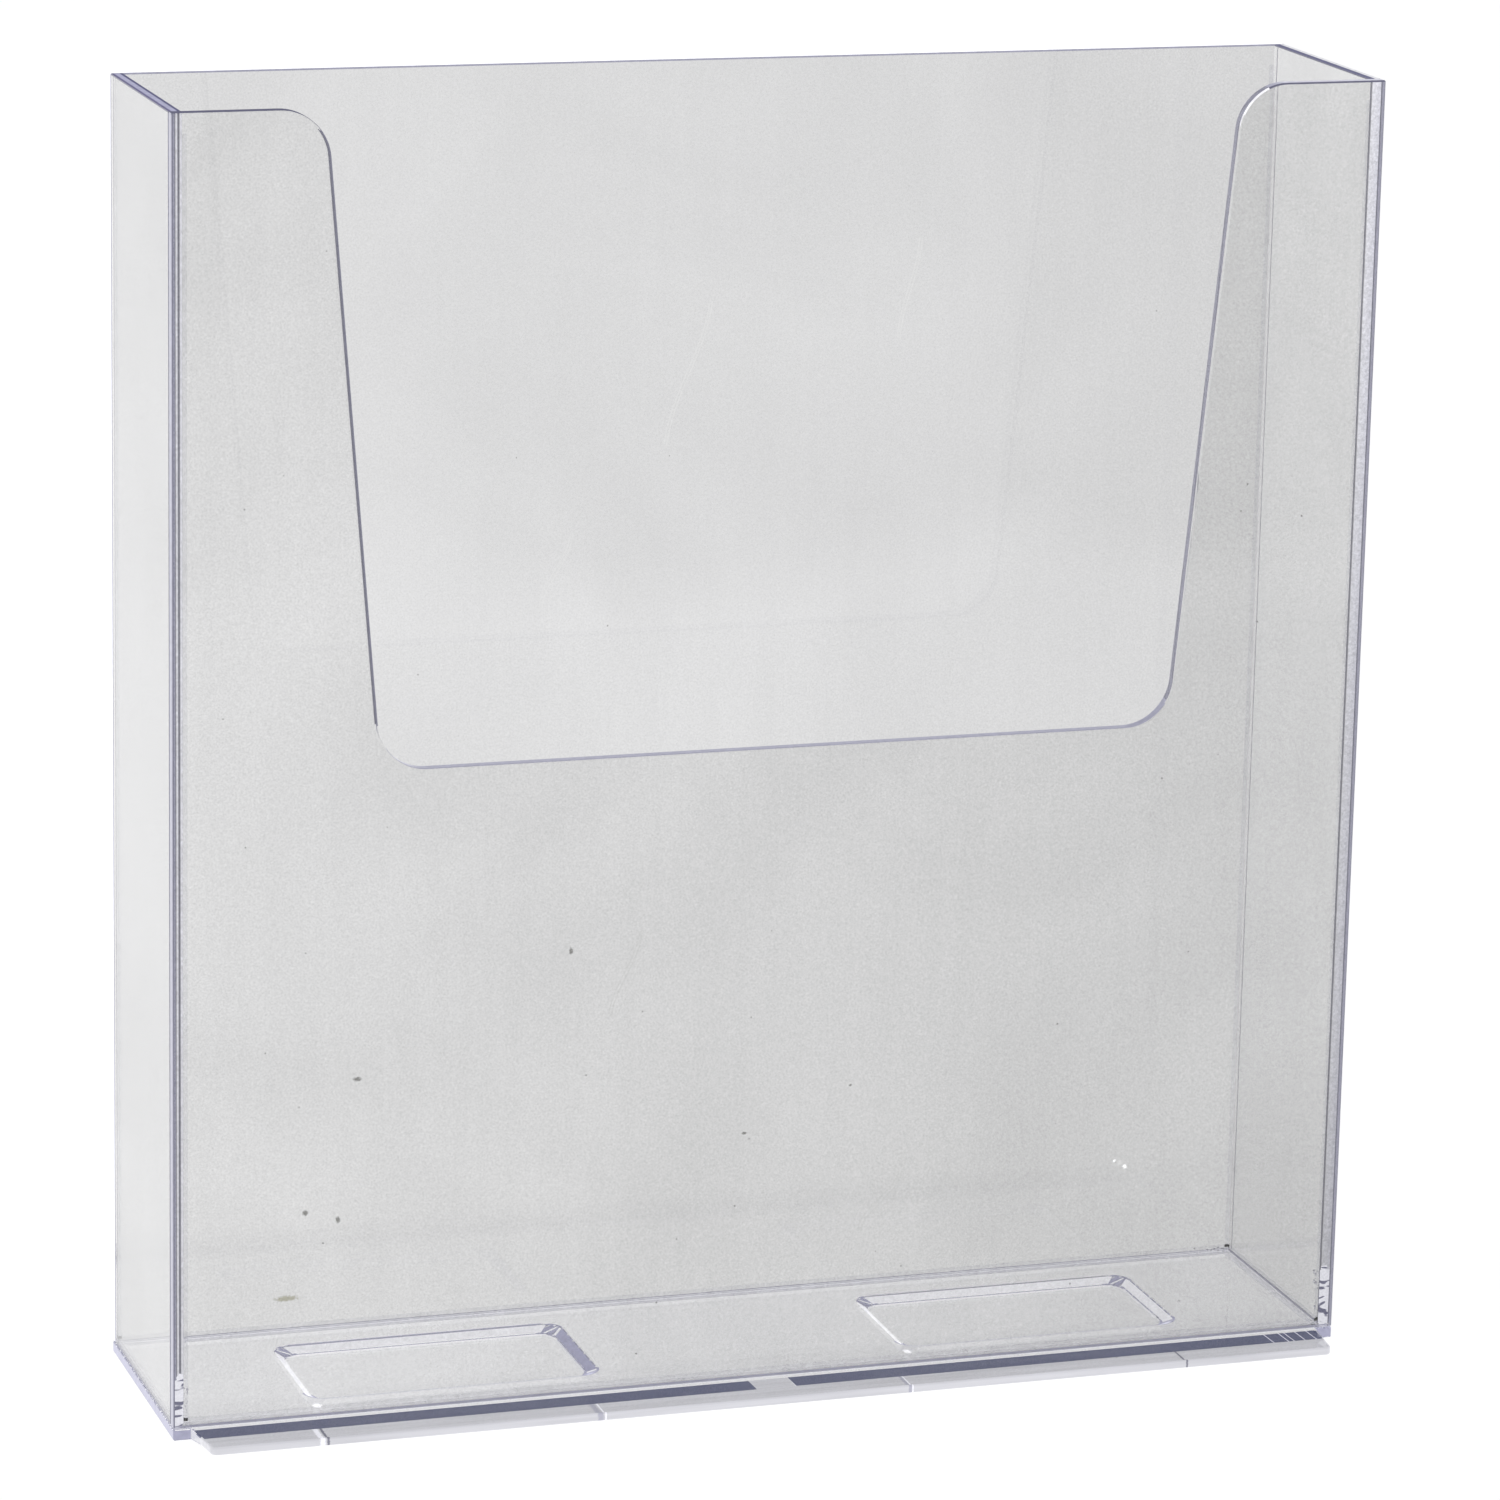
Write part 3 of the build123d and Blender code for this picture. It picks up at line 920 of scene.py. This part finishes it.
class RACK_OT_cement(bpy.types.Operator):
    """Models the cement round the floor and up the corners of the pocket"""

    bl_idname = "rack.cement"
    bl_label = "Cement"

    def execute(self, context):
        sizes = context.scene.rack_sizes
        for place in FLOOR_BEADS:
            self.make_bead(f"cement_floor_{place}", 0 if place in ("front", "back") else 1, sizes)
        for place in CORNER_BEADS:
            self.make_bead(f"cement_corner_{place}", 2, sizes)
        return {"FINISHED"}

    def make_bead(self, node, along, sizes):
        """A bead with a hollow face that wavers along its length."""
        gap = sizes.joint_gap
        low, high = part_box(node)
        clear = Vector([gap] * 3)
        bead = add_box(node + "_run", low + clear, high - clear)
        pocket = Vector((0, (right_low.y + right_high.y) / 2, (right_low.z + right_high.z) / 2))
        inward = pocket - (low + high) / 2
        across = [axis for axis in range(3) if axis != along]
        leg = min((high - low)[axis] for axis in across) - 2 * gap
        corner = [high[a] if inward[a] > 0 else low[a] for a in range(3)]
        go_to("EDIT")
        if along != 2:
            self.mitre(bead, along, low, high, inward, gap)
        is_free = lambda place: all(abs(place[a] - corner[a]) < 2.5 * gap for a in across)
        select(bead, "edges", lambda e: runs_along(e, along) and is_free(middle(e)))
        bpy.ops.mesh.bevel(offset=leg * 0.93, segments=6, profile=0.12, affect="EDGES")
        select(bead, "edges", lambda e: runs_along(e, along))
        length, step = (high - low)[along], 0.0016
        bpy.ops.mesh.subdivide(number_cuts=int(length / step), quadcorner="STRAIGHT_CUT")
        go_to("OBJECT")
        self.waver(bead, along, low, high, inward, sizes)
        close_up(bead)
        hand_over(bead, node, "cement", "set_cement")

    def mitre(self, bead, along, low, high, inward, gap):
        """Cuts both ends of a floor bead at 45 degrees, towards the pocket."""
        across = 1 - along
        wall = low[across] if inward[across] > 0 else high[across]
        for end in (low[along], high[along]):
            towards = 1 if end == low[along] else -1
            place, normal = Vector((0, 0, 0)), Vector((0, 0, 0))
            place[along], place[across] = end + towards * gap, wall
            normal[along] = -towards
            normal[across] = 1 if inward[across] > 0 else -1
            bisect(place, normal, use_fill=True, clear_outer=True)

    def waver(self, bead, along, low, high, inward, sizes):
        """Displaces the hollow face by a slow noise, and leaves the faces on the walls flat."""
        across = [axis for axis in range(3) if axis != along]
        backs = {a: low[a] if inward[a] > 0 else high[a] for a in across}
        free = bead.vertex_groups.new(name="free")
        loose = [
            v.index for v in bead.data.vertices
            if all(abs(v.co[a] - backs[a]) > 0.00012 for a in across)
            and low[along] + 0.002 < v.co[along] < high[along] - 0.002
        ]
        free.add(loose, 1.0, "REPLACE")
        clouds = bpy.data.textures.new(bead.name, "CLOUDS")
        clouds.noise_scale = 0.004
        finish_with(
            bead, "DISPLACE", texture=clouds, strength=-sizes.bead_waver, mid_level=0.3,
            vertex_group="free", texture_coords="LOCAL",
        )


class RACK_OT_bubbles(bpy.types.Operator):
    """Models the air trapped in the cement at three corners"""

    bl_idname = "rack.bubbles"
    bl_label = "Trapped Bubbles"

    def execute(self, context):
        sizes = context.scene.rack_sizes
        leg = bead_high.z - bead_low.z
        x, z = right_low.x, bead_low.z
        dice = random.Random(sizes.bubble_seed)
        y, wide = bead_low.y + leg / 3, leg / 2
        clusters = {
            "bubbles_front_left": ((-x + leg / 3, y, z), (wide, wide, 0.008), 16),
            "bubbles_front_right": ((x - leg / 3, y, z), (wide, wide, 0.011), 22),
            "bubbles_back_right": ((x - 0.003, right_high.y - leg / 3, z), (0.005, wide, wide), 18),
        }
        for name, (start, spread, count) in clusters.items():
            balls = [self.ball(start, spread, dice, sizes) for _ in range(count)]
            pick(*balls)
            bpy.ops.object.join()
            cluster = bpy.context.active_object
            cluster.name = cluster.data.name = name
            bpy.ops.object.transform_apply(location=True, rotation=True, scale=True)
            bpy.ops.object.shade_smooth()
            hand_over(cluster, None, "cement", "trapped_air")
        return {"FINISHED"}

    def ball(self, start, spread, dice, sizes):
        """One slightly flattened bubble near the start of its cluster, clear of the sheets."""
        size = sizes.bubble_size * (0.25 + 0.75 * dice.random() ** 2)
        place = [start[i] + spread[i] * (dice.random() - 0.5) for i in (0, 1)]
        place.append(start[2] + size + spread[2] * dice.random())
        room = size * 0.6 + 2 * sizes.joint_gap
        for i, (low, high) in enumerate(((-right_low.x, right_low.x), (right_low.y, right_high.y))):
            place[i] = min(max(place[i], low + room), high - room)
        bpy.ops.mesh.primitive_ico_sphere_add(subdivisions=2, radius=size * 0.6, location=place)
        bubble = bpy.context.active_object
        bubble.scale = (1, 0.8, 1 + 0.6 * dice.random())
        return bubble


# ---- stage ----------------------------------------------------------------
class RACK_OT_stage(bpy.types.Operator):
    """Sets up the pale floor, the soft light, the studio's sky and the camera"""

    bl_idname = "rack.stage"
    bl_label = "Stage"

    def execute(self, context):
        studio = context.scene.rack_studio
        self.floor(studio)
        self.sky(context.scene, studio)
        self.soft_light(studio)
        self.camera(context.scene, studio)
        context.scene.view_settings.view_transform = "Standard"
        cycles = context.scene.cycles
        cycles.max_bounces = cycles.transmission_bounces = cycles.glossy_bounces = studio.light_bounces
        return {"FINISHED"}

    def floor(self, studio):
        """Pale floor, evenly lit."""
        bpy.ops.object.select_all(action="DESELECT")
        bpy.ops.mesh.primitive_plane_add(size=studio.floor_side, location=(0, 0, -studio.floor_drop))
        floor = bpy.context.active_object
        floor.name = floor.data.name = "floor"
        bpy.ops.object.transform_apply(location=True)
        tree, shader, place = start_material("pale_floor", 0.0, 0.6, 1.45)
        cloud = noise(tree, place, 1.5, detail=2.0)
        tint = blend(tree, cloud, (0.12, 0.12, 0.12), (0.13, 0.13, 0.13))
        connect(tree, shader, {
            "Base Color": tint, "Emission Color": (1, 1, 1, 1), "Emission Strength": studio.floor_light,
            "Specular IOR Level": 0.0,
        })
        floor.data.materials.append(bpy.data.materials["pale_floor"])

    def sky(self, scene, studio):
        """White near the horizon and dim overhead, where the polished edges look."""
        world = bpy.data.worlds.new("studio_sky")
        world.use_nodes = True
        tree = world.node_tree
        up = split(tree, add_node(tree, "TexCoord").outputs["Generated"])["Z"]
        sky = ramp(tree, up, ((0.05, studio.low_sky), (0.5, studio.high_sky)))
        connect(tree, tree.nodes["Background"], {"Color": sky})
        scene.world = world

    def soft_light(self, studio):
        """Large soft light above and to the left."""
        light = bpy.data.lights.new("soft_light", "AREA")
        light.shape = "RECTANGLE"
        light.size, light.size_y = 1.2, 0.8
        light.energy = studio.soft_light
        lamp = bpy.data.objects.new("soft_light", light)
        lamp.location = (-0.6, -0.3, 1.7)
        lamp.rotation_euler = (Vector((0, 0, 0)) - lamp.location).to_track_quat("-Z", "Y").to_euler()
        bpy.context.scene.collection.objects.link(lamp)

    def camera(self, scene, studio):
        """Long lens, above the rack and to its left."""
        data = bpy.data.cameras.new("camera")
        data.sensor_width = 36
        data.lens = studio.camera_lens
        data.clip_end = 100
        camera = bpy.data.objects.new("camera", data)
        turn = Matrix.Rotation(-studio.camera_azimuth, 4, "Z")
        tip = Matrix.Rotation(math.pi / 2 - studio.camera_elevation, 4, "X")
        roll = Matrix.Rotation(studio.camera_roll, 4, "Z")
        camera.matrix_world = Matrix.Translation(studio.camera_place) @ turn @ tip @ roll
        scene.collection.objects.link(camera)
        scene.camera = camera


# ---- panel and registering ------------------------------------------------
STEPS = (
    RACK_OT_finishes,
    RACK_OT_base_plate,
    RACK_OT_back_panel,
    RACK_OT_side_panels,
    RACK_OT_front_panel,
    RACK_OT_cement,
    RACK_OT_bubbles,
    RACK_OT_stage,
)
SETTINGS = {"rack_sizes": RackSizes, "rack_finish": RackFinish, "rack_studio": RackStudio}


class RACK_PT_sidebar(bpy.types.Panel):
    """The rack's steps and settings"""

    bl_idname = "RACK_PT_sidebar"
    bl_label = "Brochure Rack"
    bl_space_type = "VIEW_3D"
    bl_region_type = "UI"
    bl_category = "Rack"

    def draw(self, context):
        for step in STEPS:
            self.layout.operator(step.bl_idname)
        for name, group in SETTINGS.items():
            box = self.layout.box()
            settings = getattr(context.scene, name)
            for label in group.__annotations__:
                box.prop(settings, label)


def register():
    for group in (*SETTINGS.values(), *STEPS, RACK_PT_sidebar):
        bpy.utils.register_class(group)
    for name, group in SETTINGS.items():
        setattr(bpy.types.Scene, name, PointerProperty(type=group))


def unregister():
    for name in SETTINGS:
        delattr(bpy.types.Scene, name)
    for group in reversed((*SETTINGS.values(), *STEPS, RACK_PT_sidebar)):
        bpy.utils.unregister_class(group)


def main():
    register()
    for step in STEPS:
        area, name = step.bl_idname.split(".")
        getattr(getattr(bpy.ops, area), name)()


if __name__ == "__main__":
    main()
